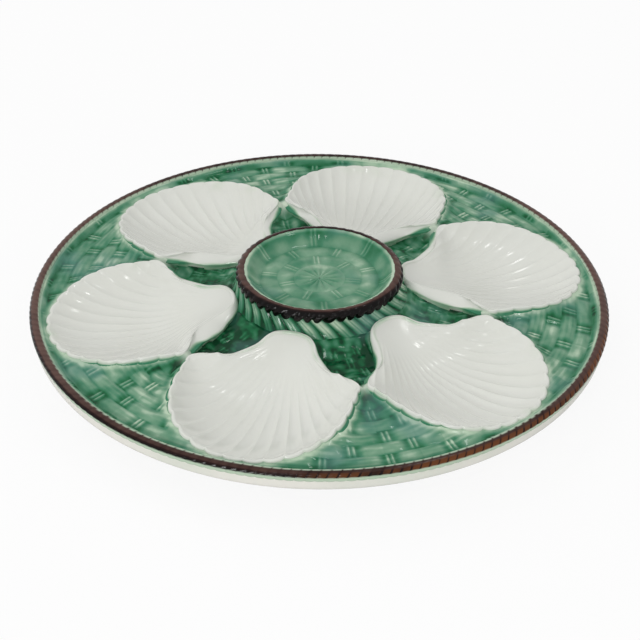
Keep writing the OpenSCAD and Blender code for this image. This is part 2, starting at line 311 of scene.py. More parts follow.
# camera and lamps, placed in the photograph's frame, the lamps in metres
EYE_BACK = 593.2
EYE_SIDE = 0.37
EYE_UP = 393.1
VIEW_DOWN = 34.447
VIEW_ROLL = 0.449
SENSOR = 36
FOCAL_PIXELS = 1633.39
PHOTO_PIXELS = 640
FAR_CLIP = 20
WORLD_LEVEL = 0.505
FLOOR_HALF = 4.0
FLOOR_GREY = 0.86
FLOOR_ROUGHNESS = 0.9
FLOOR_GLOW = 0.9
PLATE_MIDDLE = (0, 0, 0.02)
COLLAR_FRONT = (0, -0.06, 0.02)

# name, place, target, width, height, watts, and whether it shows in the glaze
LAMPS = [("key_left", (-1.3, 1.2, 1.5), PLATE_MIDDLE, 2.2, 2.2, 19, False),
         ("fill_right", (1.6, -0.3, 1.2), PLATE_MIDDLE, 1.6, 1.6, 6, False),
         ("window_front", (-0.42, -1.15, 0.5), PLATE_MIDDLE, 0.36, 0.3, 5, True),
         ("window_near", (0.17, 0.03, 0.5), COLLAR_FRONT, 0.07, 0.045, 0.1, True),
         ("window_high", (-0.12, -0.75, 0.85), PLATE_MIDDLE, 0.11, 0.06, 0.4, True)]

# curves and fields


def smooth(x, low, high):
    """0 below low, 1 above high, an even S between."""
    t = np.clip((x - low) / (high - low), 0, 1)
    return t * t * (3 - 2 * t)


def fall(x, low, high):
    """1 below low, 0 above high, an even S between."""
    return 1 - smooth(x, low, high)


def bell(x, middle, width, power=2):
    """1 at the middle, falling off on both sides over the width."""
    return np.exp(-np.abs((x - middle) / width) ** power)


def mixed(level, weights, **fields):
    """The level, with each field added times its weight."""
    return level + sum(weights[name] * field for name, field in fields.items())


def full_turn(count):
    """Azimuths that share out a whole turn."""
    return np.linspace(0, 360, count, endpoint=False)


def grid(rows, cols):
    """Each value of rows beside each value of cols, row by row."""
    return [values.ravel() for values in np.meshgrid(rows, cols, indexing="ij")]


def plan(r, a):
    """x and y at a radius and an azimuth."""
    return r * np.cos(np.radians(a)), r * np.sin(np.radians(a))


def to_back(a):
    """How far an azimuth points to the photograph's back, from -1 at its front to 1."""
    return np.sin(np.radians(a + PHOTO_TURN))


def to_right(a):
    """How far an azimuth points to the photograph's right, from -1 at its left to 1."""
    return np.cos(np.radians(a + PHOTO_TURN))


def angle_from(a, middle):
    """Angle between two azimuths, 0 to 180."""
    return np.abs((a - middle + 180) % 360 - 180)


def turned(points, degrees):
    """The points, turned about +Z."""
    a = math.radians(degrees)
    c, s = math.cos(a), math.sin(a)
    out = np.array(points, float)
    out[:, 0], out[:, 1] = c * points[:, 0] - s * points[:, 1], s * points[:, 0] + c * points[:, 1]
    return out


def spline(points, steps):
    """A Catmull-Rom curve through the points, with steps samples between two of them."""
    p = np.array(points, float)
    p = np.vstack([2 * p[0] - p[1], p, 2 * p[-1] - p[-2]])
    t = np.linspace(0, 1, steps, endpoint=False)[:, None]
    parts = []
    for a, b, c, d in zip(p, p[1:], p[2:], p[3:]):
        parts.append(0.5 * (2 * b + (c - a) * t + (2 * a - 5 * b + 4 * c - d) * t ** 2
                            + (3 * b - a - 3 * c + d) * t ** 3))
    return np.vstack(parts + [p[-2:-1]])


def bezier(a, b, c, d, s):
    """The place at the share s of a curve from a to d, drawn out by b and c."""
    t = 1 - s
    return a * t ** 3 + b * 3 * t * t * s + c * 3 * t * s * s + d * s ** 3


def soft_closed(values, rounds):
    """Values round a closed line, each made more like its neighbours."""
    for _ in range(rounds):
        values = (np.roll(values, 1, 0) + 2 * values + np.roll(values, -1, 0)) / 4
    return values


def ripple(x, y, seed, scale):
    """Soft hand-made unevenness: a few sine waves that cross at odd angles, about -1 to 1."""
    waves = 9
    round_once = 6.28
    low, high = 0.6, 1.6
    draw = np.random.default_rng(seed)
    total = np.zeros_like(np.asarray(x, float))
    for _ in range(waves):
        a = draw.uniform(0, 2 * math.pi)
        f = 2 * math.pi / scale * draw.uniform(low, high)
        total += np.sin(f * (np.cos(a) * x + np.sin(a) * y) + draw.uniform(0, round_once))
    return total / (0.6 * waves)


# a shell's outline and heights


def fan_radius(a):
    """Radius of the fan about the hinge's apex, at an angle from the shell's axis."""
    reach = np.clip((np.abs(a) - EAR_FROM) / (FAN_HALF - EAR_FROM), 0, 1) ** EAR_POW
    rad = np.radians(a)
    return FAN_MID * np.cos(rad) + np.sqrt(FAN_R ** 2 - (FAN_MID * np.sin(rad)) ** 2) + EAR_REACH * reach


def shell_outline():
    """Closed outline in the shell's own frame, and how far each point belongs to the fan, 0 to 1."""
    step = np.arange(LOBES * LOBE_STEPS + 1)
    a = np.linspace(-FAN_HALF, FAN_HALF, len(step))
    phase = step % LOBE_STEPS / LOBE_STEPS
    swell = LOBE_SWELL * (0.5 - np.abs(2 * phase - 1) ** LOBE_POW)
    x, y = plan(fan_radius(a) + swell, a)
    fan = np.c_[APEX + x, y]
    half = np.array(SIDE) * plate_r
    neck = np.vstack([fan[-1:], half, [np.array(TIP) * plate_r], half[::-1] * [1, -1], fan[:1]])
    side = spline(neck, SIDE_STEPS)[1:-1]
    outline = np.vstack([fan, side])
    to_ears = np.linalg.norm(outline[:, None] - fan[[0, -1]], axis=2)
    near_ear = bell(to_ears.min(1), 0, EAR_SOFT)[:, None]
    outline = outline + (soft_closed(outline, SOFT_ROUNDS) - outline) * near_ear
    in_fan = np.r_[np.ones(len(fan)), smooth(side[:, 0] / plate_r, *FAN_BEGINS)]
    return outline, in_fan


def outline_normals():
    """The way out of the outline at each of its points."""
    ahead = np.roll(OUTLINE, -1, 0) - np.roll(OUTLINE, 1, 0)
    n = np.c_[ahead[:, 1], -ahead[:, 0]]
    return n / np.linalg.norm(n, axis=1)[:, None]


def lip_height(u):
    """Height of the lip at a place along the shell's axis."""
    t = np.clip((u - SLOPE_FROM) / (SLOPE_TO - SLOPE_FROM), 0, 1)
    dip = smooth(u / plate_r, *DIP_BEGINS) * fall(u / plate_r, *DIP_ENDS)
    return SIDE_LIP - (SIDE_LIP - FAR_LIP) * t ** SLOPE_POW - NECK_DIP * dip


def shore_height(u):
    """Height of the ground where it meets a shell's wall."""
    lip = lip_height(u)
    return lip - SHORE_FAR - (SHORE_SIDE - SHORE_FAR) * (lip - FAR_LIP) / (SIDE_LIP - FAR_LIP)


def well_field(points):
    """How much room the outline leaves round each point, and the lip's height blended in from all sides."""
    at_once = 1500
    tiny = 1e-9
    ahead = np.roll(OUTLINE, -1, 0)
    seat = lip_height(OUTLINE[:, 0])
    room, lip = [], []
    for part in np.array_split(points, max(1, len(points) // at_once)):
        a = OUTLINE[None] - part[:, None]
        b = ahead[None] - part[:, None]
        angle = np.arctan2(a[..., 0] * b[..., 1] - a[..., 1] * b[..., 0], (a * b).sum(-1))
        weight = angle / (np.linalg.norm(a + b, axis=-1) / 2 + tiny)
        total = weight.sum(1)
        room.append(np.where(angle.sum(1) > math.pi, 2 / total, 0))
        lip.append(weight @ seat / total)
    return np.concatenate(room), np.concatenate(lip)


def bowl_height(points):
    """Height of the bowl, which falls from a soft crest, broader round the hinge, to the floor."""
    room, lip = well_field(points)
    u = points[:, 0] / plate_r
    neck = fall(u, *CREST_NARROWS)
    crest = FAN_CREST + (NECK_CREST - FAN_CREST) * neck
    soft = FAN_SOFT + (NECK_SOFT - FAN_SOFT) * neck
    past = soft * (np.logaddexp(0, (room - crest) / soft) - np.logaddexp(0, -crest / soft))
    share = np.clip(past / (MOST_ROOM - crest), 0, 1)
    floor = WELL_FLOOR + HINGE_RISE * fall(u, *HINGE_ENDS)
    return lip - (lip - floor) * (1 - (1 - share) ** BOWL_POW)


def under_height(room):
    """Height of a shell's underside where it has this much room round it."""
    share = np.clip(room / MOST_ROOM, 0, 1)
    low = WELL_FLOOR - WELL_WALL
    return back_h - (back_h - low) * (1 - (1 - share) ** UNDER_POW)


def ridges(u, w):
    """Ridges between the flutes, which run from the notches of the lip towards the hinge."""
    a = np.degrees(np.arctan2(w, u - APEX))
    turn = (a + FAN_HALF) / (2 * FAN_HALF) * LOBES
    notch = np.abs(2 * (turn % 1) - 1)
    out = np.hypot(w, u - APEX) / fan_radius(np.clip(a, -FAN_HALF, FAN_HALF))
    fade = smooth(out, *RIDGE_BEGINS) * smooth(FAN_HALF - np.abs(a), *RIDGE_EDGE)
    return (notch ** RIDGE_POW - RIDGE_MEAN) * fade


def ground_profile(r):
    """Height of the ground at a radius, away from the shells."""
    samples, rounds = 400, 30
    shares, heights = np.array(GROUND).T
    fine = np.linspace(shares[0], shares[-1], samples)
    z = np.interp(fine, shares, heights)
    for _ in range(rounds):
        z[1:-1] = (z[:-2] + 2 * z[1:-1] + z[2:]) / 4
    return back_h + (rim_h - back_h) * np.interp(r / plate_r, fine, z)


OUTLINE, IN_FAN = shell_outline()
SKIRT = fall(OUTLINE[:, 0] / plate_r, *SKIRT_ENDS) * (IN_FAN < 1)
LIP = lip_height(OUTLINE[:, 0])
INWARD = (POLE - OUTLINE) / np.linalg.norm(POLE - OUTLINE, axis=1)[:, None]
BOWL_EDGE = OUTLINE + INWARD * LIP_R * (1 - math.cos(math.radians(LIP_END)))
MOST_ROOM = well_field(MIDDLE[None])[0][0]

# meshes


def grid_faces(rows, cols, ring=False):
    """Quads of a grid whose columns close on themselves, and whose rows do too in a ring."""
    i = np.arange(rows if ring else rows - 1)[:, None]
    j = np.arange(cols)[None, :]
    below, beside = (i + 1) % rows, (j + 1) % cols
    corners = [i * cols + j, i * cols + beside, below * cols + beside, below * cols + j]
    return np.stack(corners, -1).reshape(-1, 4)


def to_shell(x, y):
    """The places in the frame of the shell whose sector they lie in."""
    a = np.degrees(np.arctan2(y, x))
    return plan(np.hypot(x, y), a - np.round(a / TURN) * TURN)


def shell_gap(x, y):
    """Distance to the nearest shell outline, below zero inside it, and the nearest outline point."""
    p = np.c_[to_shell(x, y)]
    a, b = OUTLINE, np.roll(OUTLINE, -1, 0)
    step = b - a
    best = np.full(len(p), np.inf)
    nearest = np.zeros(len(p), int)
    inside = np.zeros(len(p), bool)
    for k in range(len(a)):
        d = p - a[k]
        t = np.clip(d @ step[k] / (step[k] @ step[k]), 0, 1)
        away = np.hypot(*(d - t[:, None] * step[k]).T)
        nearest[away < best] = k
        best = np.minimum(best, away)
        crosses = (a[k, 1] > p[:, 1]) != (b[k, 1] > p[:, 1])
        if crosses.any():
            at = a[k, 0] + (p[:, 1] - a[k, 1]) / step[k, 1] * step[k, 0]
            inside ^= crosses & (p[:, 0] < at)
    return np.where(inside, -best, best), nearest


def drop_inside(points, faces, inset):
    """The faces that don't lie inside a shell's outline by more than inset, and what shell_gap says."""
    gap, nearest = shell_gap(points[:, 0], points[:, 1])
    return faces[~(gap[faces] < -inset).all(1)], gap, nearest


def make_piece(name, points, faces, fields, glaze, node):
    """A smooth mesh piece with a value of each field at its points, standing for a CAD node."""
    used = np.zeros(len(points), bool)
    used[faces.ravel()] = True
    index = np.cumsum(used) - 1
    mesh = bpy.data.meshes.new(name)
    mesh.from_pydata((points[used] * MM).tolist(), [], index[faces].tolist())
    for field, values in fields.items():
        layer = mesh.attributes.new(field, "FLOAT", "POINT")
        layer.data.foreach_set("value", np.asarray(values, np.float32)[used])
    mesh.polygons.foreach_set("use_smooth", np.ones(len(mesh.polygons), bool))
    mesh.validate()
    mesh.update()
    mesh.materials.append(GLAZES[glaze])
    piece = bpy.data.objects.new(name, mesh)
    bpy.context.scene.collection.objects.link(piece)
    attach(piece, "root")
    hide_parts(node)


# materials


def node_material(name):
    """A new material, its node tree and its shader."""
    material = bpy.data.materials.new(name)
    material.use_nodes = True
    tree = material.node_tree
    return material, tree, tree.nodes["Principled BSDF"]


def attribute(tree, name):
    """The value of a mesh's field."""
    node = tree.nodes.new("ShaderNodeAttribute")
    node.attribute_name = name
    return node.outputs["Fac"]


def noise(tree, scale, detail=3.0):
    """Noise that stays with the object."""
    node = tree.nodes.new("ShaderNodeTexNoise")
    node.inputs["Scale"].default_value = scale
    node.inputs["Detail"].default_value = detail
    place = tree.nodes.new("ShaderNodeTexCoord")
    tree.links.new(place.outputs["Object"], node.inputs["Vector"])
    return node.outputs["Fac"]


def maths(tree, kind, a, b, clamp=False):
    """Two numbers or sockets put together."""
    node = tree.nodes.new("ShaderNodeMath")
    node.operation = kind
    node.use_clamp = clamp
    for socket, value in zip(node.inputs, (a, b)):
        if isinstance(value, (int, float)):
            socket.default_value = value
        else:
            tree.links.new(value, socket)
    return node.outputs[0]


def mottled(tree, name, scale, strength, detail=3.0):
    """A mesh's field with noise about zero added, kept between 0 and 1."""
    about_zero = maths(tree, "SUBTRACT", noise(tree, scale, detail), 0.5)
    added = maths(tree, "MULTIPLY", about_zero, strength)
    return maths(tree, "ADD", attribute(tree, name), added, clamp=True)


def ramp(tree, value, stops):
    """The colour at a value between the stops."""
    node = tree.nodes.new("ShaderNodeValToRGB")
    elements = node.color_ramp.elements
    while len(elements) < len(stops):
        elements.new(0.5)
    for element, (at, colour) in zip(elements, stops):
        element.position = at
        element.color = (*colour, 1)
    tree.links.new(value, node.inputs["Fac"])
    return node.outputs["Color"]


def share_between(tree, value, low, high):
    """0 up to low, 1 from high on, even between."""
    return ramp(tree, value, [(low, (0, 0, 0)), (high, (1, 1, 1))])


def blend(tree, share, a, b):
    """Colour a, going over to colour b where the share is 1."""
    node = tree.nodes.new("ShaderNodeMix")
    node.data_type = "RGBA"
    tree.links.new(share, node.inputs["Factor"])
    colour_a, colour_b, result = node.inputs[6], node.inputs[7], node.outputs[2]
    for socket, value in ((colour_a, a), (colour_b, b)):
        if isinstance(value, tuple):
            socket.default_value = (*value, 1)
        else:
            tree.links.new(value, socket)
    return result


def finish(tree, shader, colour, roughness, index=1.5):
    """The colour and the gloss of a glaze."""
    tree.links.new(colour, shader.inputs["Base Color"])
    shader.inputs["Roughness"].default_value = roughness
    shader.inputs["IOR"].default_value = index


def glaze_bump(tree, shader, scale, strength, depth=0.0004):
    """The faint unevenness of a glaze, its depth in metres."""
    node = tree.nodes.new("ShaderNodeBump")
    node.inputs["Strength"].default_value = strength
    node.inputs["Distance"].default_value = depth
    tree.links.new(noise(tree, scale, detail=2.0), node.inputs["Height"])
    tree.links.new(node.outputs["Normal"], shader.inputs["Normal"])


def green_glaze():
    """Green glaze that is pale on high spots and dark where the glaze lies deep or where painted shade is
    put into its field.
    """
    material, tree, shader = node_material("green_glaze")
    green = ramp(tree, mottled(tree, "pool_and_shade", scale=70, strength=0.95, detail=4.0), GREEN_STOPS)
    spots = share_between(tree, noise(tree, scale=38, detail=2.0), 0.54, 0.68)
    bluish = blend(tree, maths(tree, "MULTIPLY", spots, 0.4), green, BLUE_GREEN)
    colour = blend(tree, attribute(tree, "white"), bluish, BRIDGE_WHITE)
    finish(tree, shader, colour, roughness=0.09, index=1.35)
    glaze_bump(tree, shader, scale=160, strength=0.25)
    return material


def white_glaze():
    """Off-white glaze with a cream tint, going green where the tint and wall fields are high."""
    material, tree, shader = node_material("white_glaze")
    body = blend(tree, noise(tree, scale=45, detail=2.0), *SHELL_WHITES)
    tint = mottled(tree, "tint", scale=120, strength=0.5)
    held = maths(tree, "MULTIPLY", tint, attribute(tree, "wall"), clamp=True)
    colour = blend(tree, share_between(tree, held, 0.05, 0.5), body, ramp(tree, held, SHELL_GREENS))
    finish(tree, shader, colour, roughness=0.13)
    glaze_bump(tree, shader, scale=120, strength=0.2)
    return material


def cream_glaze():
    """Cream glaze of the edge and the back, with a green bloom."""
    material, tree, shader = node_material("cream_glaze")
    bloom = share_between(tree, noise(tree, scale=30, detail=4.0), 0.45, 0.75)
    colour = blend(tree, maths(tree, "MULTIPLY", bloom, 0.5), *CREAMS)
    finish(tree, shader, colour, roughness=0.14)
    glaze_bump(tree, shader, scale=90, strength=0.25)
    return material


def brown_glaze():
    """Dark brown glaze, taupe on the strands' tops from wear and painted sheen, amber where thin and pale
    green at its edge.
    """
    material, tree, shader = node_material("brown_glaze")
    # The top field is wear and painted sheen; it turns the dark brown to taupe.
    brown = ramp(tree, mottled(tree, "top", scale=150, strength=0.6), BROWN_STOPS)
    thin = mottled(tree, "amber", scale=45, strength=4.5)
    held = maths(tree, "MULTIPLY", thin, attribute(tree, "amber"), clamp=True)
    colour = blend(tree, attribute(tree, "pale"), blend(tree, held, brown, AMBER), PALE_GREEN)
    finish(tree, shader, colour, roughness=0.2, index=1.32)
    glaze_bump(tree, shader, scale=300, strength=0.3, depth=0.0003)
    return material


# shell wells


def skirt_flare():
    """How far the foot of a shell's wall stands out from the outline, all round."""
    u = OUTLINE[:, 0]
    by_ear = soft_closed(bell(u, EAR_AT, EAR_WIDTH) * (1 - IN_FAN), EAR_ROUNDS)
    spread = SKIRT * smooth(u / plate_r, *BESIDE_NECK) + EAR_FLARE * by_ear
    tuck = 1 - TIP_TUCK * fall(u / plate_r, *TIP_ENDS)
    return soft_closed(WALL_FOOT + NECK_FLARE * spread * tuck, SOFT_ROUNDS)[:, None]


def shell_ring(points, down, wall, bowl=0.0):
    """Points, each with how far down the wall it is, and its shares of the wall's glaze and of the bowl."""
    fields = [np.broadcast_to(values, len(points)) for values in (down, wall, bowl)]
    return np.c_[points, np.transpose(fields)]


def lip_crest(a):
    """A ring over the lip's round crest, a radians on from its outside."""
    inner = OUTLINE + INWARD * LIP_R * (1 - np.cos(a))
    return np.c_[inner, LIP - LIP_R + LIP_R * np.sin(a)[:, 0]]


def under_rings():
    """Rings of the underside, from its pole out to the outline."""
    rings = []
    for share in np.linspace(POLE_SHARE, 1, UNDER_RINGS):
        xy = POLE + (OUTLINE - POLE) * share
        rings.append(shell_ring(np.c_[xy, under_height(well_field(xy)[0])], 0, 0))
    return rings


def wall_rings(start):
    """Rings of the outer wall, from its foot in the ground up to the start of the crest."""
    steep = FAN_STEEP + (NECK_STEEP - FAN_STEEP) * (1 - IN_FAN)[:, None]
    out = soft_closed(outline_normals(), 3) * skirt_flare()
    u = OUTLINE[:, 0]
    shore = np.maximum(ground_profile(np.hypot(*OUTLINE.T)), shore_height(u)) - WALL_SINK
    shore = shore + (LIP - TIP_DROP - shore) * fall(u / plate_r, *TIP_ENDS)
    top = lip_crest(start)
    foot = np.c_[OUTLINE + out, shore]
    height = top[:, 2:] - foot[:, 2:]
    below_top = top + WALL_BEND * np.c_[out * np.sin(start), -height * np.cos(start)]
    above_foot = foot + [0, 0, 1] * height * steep
    return [shell_ring(bezier(foot, above_foot, below_top, top, share), 1 - share, 1)
            for share in np.linspace(0, 1, WALL_RINGS)]


def lip_rings(start):
    """Rings over the lip, from the start of the crest to the bowl's edge."""
    end = math.radians(LIP_END)
    landing = LIP - bowl_height(BOWL_EDGE)
    outer, inner = LIP_GLAZE
    rings = []
    for share in np.linspace(0, 1, LIP_RINGS)[1:]:
        a = start + (end - start) * share
        points = lip_crest(a)
        past_top = a[:, 0] > math.pi / 2
        down = landing * (1 - np.sin(a[:, 0])) / (1 - math.sin(end))
        points[:, 2] = np.where(past_top, LIP - down, points[:, 2])
        rings.append(shell_ring(points, 0, outer + (inner - outer) * share))
    return rings


def bowl_rings():
    """Rings of the bowl, from its edge in to the pole, closer together near the edge."""
    edge = np.linspace(1, FLOOR_BEGINS, EDGE_RINGS)[1:]
    floor = np.linspace(FLOOR_BEGINS, POLE_SHARE, FLOOR_RINGS)[1:]
    rings = []
    for share in np.r_[edge, floor]:
        xy = POLE + (BOWL_EDGE - POLE) * share
        wall = LIP_GLAZE[1] * smooth(share, *EDGE_GLAZE)
        bowl = smooth(1 - share, *BOWL_BEGINS)
        rings.append(shell_ring(np.c_[xy, bowl_height(xy)], 0, wall, bowl))
    return rings


def shell_rings():
    """Rings of a shell from the pole of its underside out, up the wall, over the lip and down the bowl."""
    start = (math.pi / 2 * (1 - IN_FAN))[:, None]
    return np.array(under_rings() + wall_rings(start) + lip_rings(start) + bowl_rings())


def skirt_spread(number):
    """How far a shell's own wall spreads, all round, as a share of the widest."""
    left, right = SKIRT_SHARES[number - 1]
    own = right + (left - right) * smooth(OUTLINE[:, 1], *ACROSS_AXIS)
    return 1 + (own - 1) * SKIRT


def white_reach(number):
    """How far down a shell's wall is white, all round: more on the skirt, and most where it faces front."""
    facing = -turned(outline_normals(), (number - 1) * TURN + PHOTO_TURN)[:, 1]
    reach = mixed(WHITE_LEVEL, WHITE_REACH,
                  skirt=SKIRT,
                  front=SKIRT * smooth(facing, -0.2, 0.7),
                  notch=SKIRT * bell(OUTLINE[:, 0], NOTCH_AT, NOTCH_WIDTH))
    return soft_closed(reach, WHITE_ROUNDS)


def shell_well(number, rings):
    """One shell, with flutes and small hand-made differences of its own."""
    spread = skirt_spread(number)
    x, y, z, down, wall, bowl = np.moveaxis(rings, 2, 0)
    x = np.where(wall == 1, OUTLINE[:, 0] + (x - OUTLINE[:, 0]) * spread, x)
    y = np.where(wall == 1, OUTLINE[:, 1] + (y - OUTLINE[:, 1]) * spread, y)
    x, y, z, down, wall, bowl = [values.ravel() for values in (x, y, z, down, wall, bowl)]
    z = z + RIDGE * ridges(x, y) * (1 + 0.3 * ripple(x, y, seed=number + 5, scale=30)) * bowl
    z = z + 0.12 * ripple(x, y, seed=number + 9, scale=22) * bowl
    z = z + 0.25 * ripple(x, y, seed=number, scale=40) * smooth(z, back_h, rim_h)
    white_to = np.tile(white_reach(number), len(rings)) + 0.12 * ripple(x, y, seed=number + 70, scale=14)
    wall_tint = smooth(down, white_to - 0.1, white_to + 0.5)
    patches = smooth(ripple(x, y, seed=number + 90, scale=20), -0.2, 0.8)
    lip_tint = 0.3 * patches + np.tile(0.35 * SKIRT * (1 - spread), len(rings))
    fields = {"tint": np.where(wall == 1, wall_tint, lip_tint), "wall": wall}
    points = turned(np.c_[x, y, z], (number - 1) * TURN)
    faces = grid_faces(len(rings), len(OUTLINE))
    make_piece(f"shell_{number}", points, faces, fields, "white_glaze", f"shell_well_{number}")


# the ground, its weave and the hollows between the shells


def by_lot(row, place):
    """A number for each strip that looks drawn by lot, -0.5 to 0.5."""
    jumble = np.sin(row * 12.99 + place * 78.23) * 437.58
    return np.modf(np.abs(jumble))[0] - 0.5


def weave(r, a, count, first, pitch, gap):
    """Height of strips and stakes, 0 to 1, how deep a spot lies between them, and the stakes alone."""
    row = np.round((first - r) / pitch)
    across = (r - (first - row * pitch)) / (pitch / 2)
    step = 360 / count
    sway = 0.07 * np.sin(row * 2.3)
    place = a / step + np.where(row % 2 == 0, 0.0, 0.5) + sway
    along = (place - np.round(place)) * 2
    from_stakes = np.abs(np.radians(along * step / 2) * r)
    width = 1 - STRIP_WAIST * bell(from_stakes, gap, STRIP_WAIST_W)
    begins = smooth(from_stakes - gap, *STRIP_BEGINS)
    strip = np.clip(1 - np.abs(across / width) ** STRIP_POW, 0, 1) * begins
    stakes = bell(from_stakes, gap * STAKE_AT, gap * STAKE_W) * np.clip(1 - np.abs(across) ** 6, 0, 1)
    deep = np.clip(0.4 * np.abs(across) ** 4 + 0.8 * (1 - begins) * (1 - stakes), 0, 1)
    return np.maximum(strip, STAKE_H * stakes), deep + 0.35 * by_lot(row, np.round(place)), stakes


def ground_fields():
    """The ground's points in plan and its faces, and what its heights and glaze are worked out from."""
    g = SimpleNamespace()
    g.r, g.a = grid(np.linspace(band_out - 0.6, ROPE_IN + 0.3, GROUND_ROWS), full_turn(GROUND_COLS))
    g.x, g.y = plan(g.r, g.a)
    faces = grid_faces(GROUND_ROWS, GROUND_COLS)
    g.faces, g.gap, nearest = drop_inside(np.c_[g.x, g.y], faces, GROUND_INSET)
    g.near = np.clip(g.gap, 0, None)
    g.fan = IN_FAN[nearest]
    g.shore = shore_height(OUTLINE[nearest, 0])
    from_pole = OUTLINE[nearest] - POLE
    g.outward = smooth(from_pole[:, 0] / np.linalg.norm(from_pole, axis=1), 0.45, 0.8)
    g.pocket = fall(g.r, *POCKET_ENDS)
    g.clear = smooth(g.gap, *WEAVE_BY_SHELL) * smooth(ROPE_IN - g.r, *WEAVE_BY_ROPE)
    g.clear = g.clear * smooth(g.r, *WEAVE_BY_COLLAR) * (1 - (1 - POCKET_WEAVE) * g.pocket)
    uneven_r = g.r + 0.5 * ripple(g.x, g.y, seed=3, scale=45)
    uneven_a = g.a + 0.6 * ripple(g.x, g.y, seed=4, scale=60)
    g.high, g.deep, g.stakes = weave(uneven_r, uneven_a, STAKES, ROW_FIRST, ROW_PITCH, STAKE_GAP)
    g.streaks = ripple(g.r * 5, g.a * 2.2, seed=31, scale=14)
    g.sideways = np.radians(np.abs(g.a % TURN - TURN / 2)) * g.r
    g.white = BRIDGE_WHITENESS * fall(g.sideways, *BRIDGE_ENDS) * bell(g.r, BRIDGE_AT, BRIDGE_W)
    return g


def ground_heights(g):
    """The ground's profile, raised where it meets shells, rim and bridges, with its weave and its dents."""
    base = ground_profile(g.r)
    z = base + np.maximum(g.shore - base, 0) * bell(g.near, 0, SHORE_REACH, SHORE_POW) * g.fan
    z = z + DENT_H * ripple(g.x, g.y, seed=71, scale=9) * g.pocket * smooth(g.gap, 1, 4)
    z = z + UNEVEN_H * ripple(g.x, g.y, seed=8, scale=18)
    z = z + (WEAVE_H * (g.high - WEAVE_SINK) + STREAK_H * g.streaks * g.high) * g.clear
    return z + RIM_RISE * smooth(g.r - ROPE_IN, *RIM_RISES) + BRIDGE_RISE * g.white


def ground_pool_and_shade(g):
    """How deep the glaze lies on the ground, with painted shade in the pockets on the shaded side and
    painted light in those at the back, and thin again in a line beside the rim rope.
    """
    uneven = 0.5 + 0.5 * smooth(ripple(g.x, g.y, seed=12, scale=40), -0.5, 0.4)
    valley_at = VALLEY_AT + VALLEY_SWAY * ripple(g.x, g.y, seed=44, scale=16)
    valley = bell(g.near, valley_at, VALLEY_W) * uneven * (1 - 0.75 * g.outward * g.fan)
    pool_and_shade = mixed(GROUND_LEVEL, GROUND_POOL_AND_SHADE,
                 streaks=g.streaks,
                 patches=smooth(ripple(g.x, g.y, seed=21, scale=34), -0.2, 0.9),
                 between=g.deep * g.clear,
                 stakes=g.stakes * g.clear,
                 valley=valley,
                 halo=bell(g.near, 0, HALO_W),
                 pocket=g.pocket,
                 blots=ripple(g.x, g.y, seed=61, scale=7) * g.pocket,
                 # painted shade: the pockets towards the front left, on the shadow side, are darker
                 shade=smooth(-to_back(g.a + 45), 0.2, 0.9) * g.pocket,
                 # painted light: the pockets towards the back are paler, as less shaded
                 back=smooth(to_back(g.a), 0.2, 0.8) * g.pocket,
                 rim=smooth(g.r - ROPE_IN, *RIM_DARKENS))
    below_bridge = bell(g.r, BELOW_BRIDGE_AT, BELOW_BRIDGE_W) * fall(g.sideways, *BELOW_BRIDGE_ENDS)
    clear = smooth(ROPE_IN - g.r, *RIM_CLEARS)
    return (pool_and_shade + BELOW_BRIDGE_POOL * below_bridge) * clear + RIM_POOL * (1 - clear)


def ground_piece():
    """The woven ground between the shells, the collar and the rim."""
    g = ground_fields()
    points = np.c_[g.x, g.y, ground_heights(g)]
    fields = {"pool_and_shade": ground_pool_and_shade(g), "white": g.white}
    make_piece("woven_ground_glazed", points, g.faces, fields, "green_glaze", "woven_ground")


def band_piece():
    """The flared band below the collar rope, with slanting leaf strokes."""
    down, a = grid(np.linspace(0, BAND_END, BAND_ROWS), full_turn(BAND_COLS))
    sway = 0.1 * np.sin(np.radians(a * 5))
    phase = a / 360 * LEAF_STROKES - LEAF_LEAN * down + sway
    leaf = np.abs(np.sin(math.pi * phase)) ** LEAF_POW
    midrib = bell(phase % 1, 0.5, MIDRIB_WIDTH)
    cut = (LEAF_CUT * (1 - leaf) + MIDRIB_CUT * midrib) * fall(down, *LEAF_ENDS)
    x, y = plan(BAND_TOP_R + (band_out - BAND_TOP_R) * down ** BAND_POW - cut, a)
    foot = ground_profile(np.array([band_out]))[0]
    points = np.c_[x, y, BAND_TOP + (foot - BAND_TOP) * down]
    pool_and_shade = mixed(BAND_LEVEL, BAND_POOL_AND_SHADE,
                 leaf=leaf,
                 midrib=midrib,
                 # painted shade: the band is darker on its left side
                 left=smooth(-to_right(a), -0.1, 0.8),
                 foot=smooth(down, 0.5, 1.0),
                 below_rope=fall(down, 0.08, 0.22) * (1 - leaf))
    faces, _, _ = drop_inside(points, grid_faces(BAND_ROWS, BAND_COLS), HIDDEN_INSET)
    fields = {"pool_and_shade": pool_and_shade, "white": np.zeros(len(pool_and_shade))}
    make_piece("leaf_band", points, faces, fields, "green_glaze", "collar_band")


# the ropes


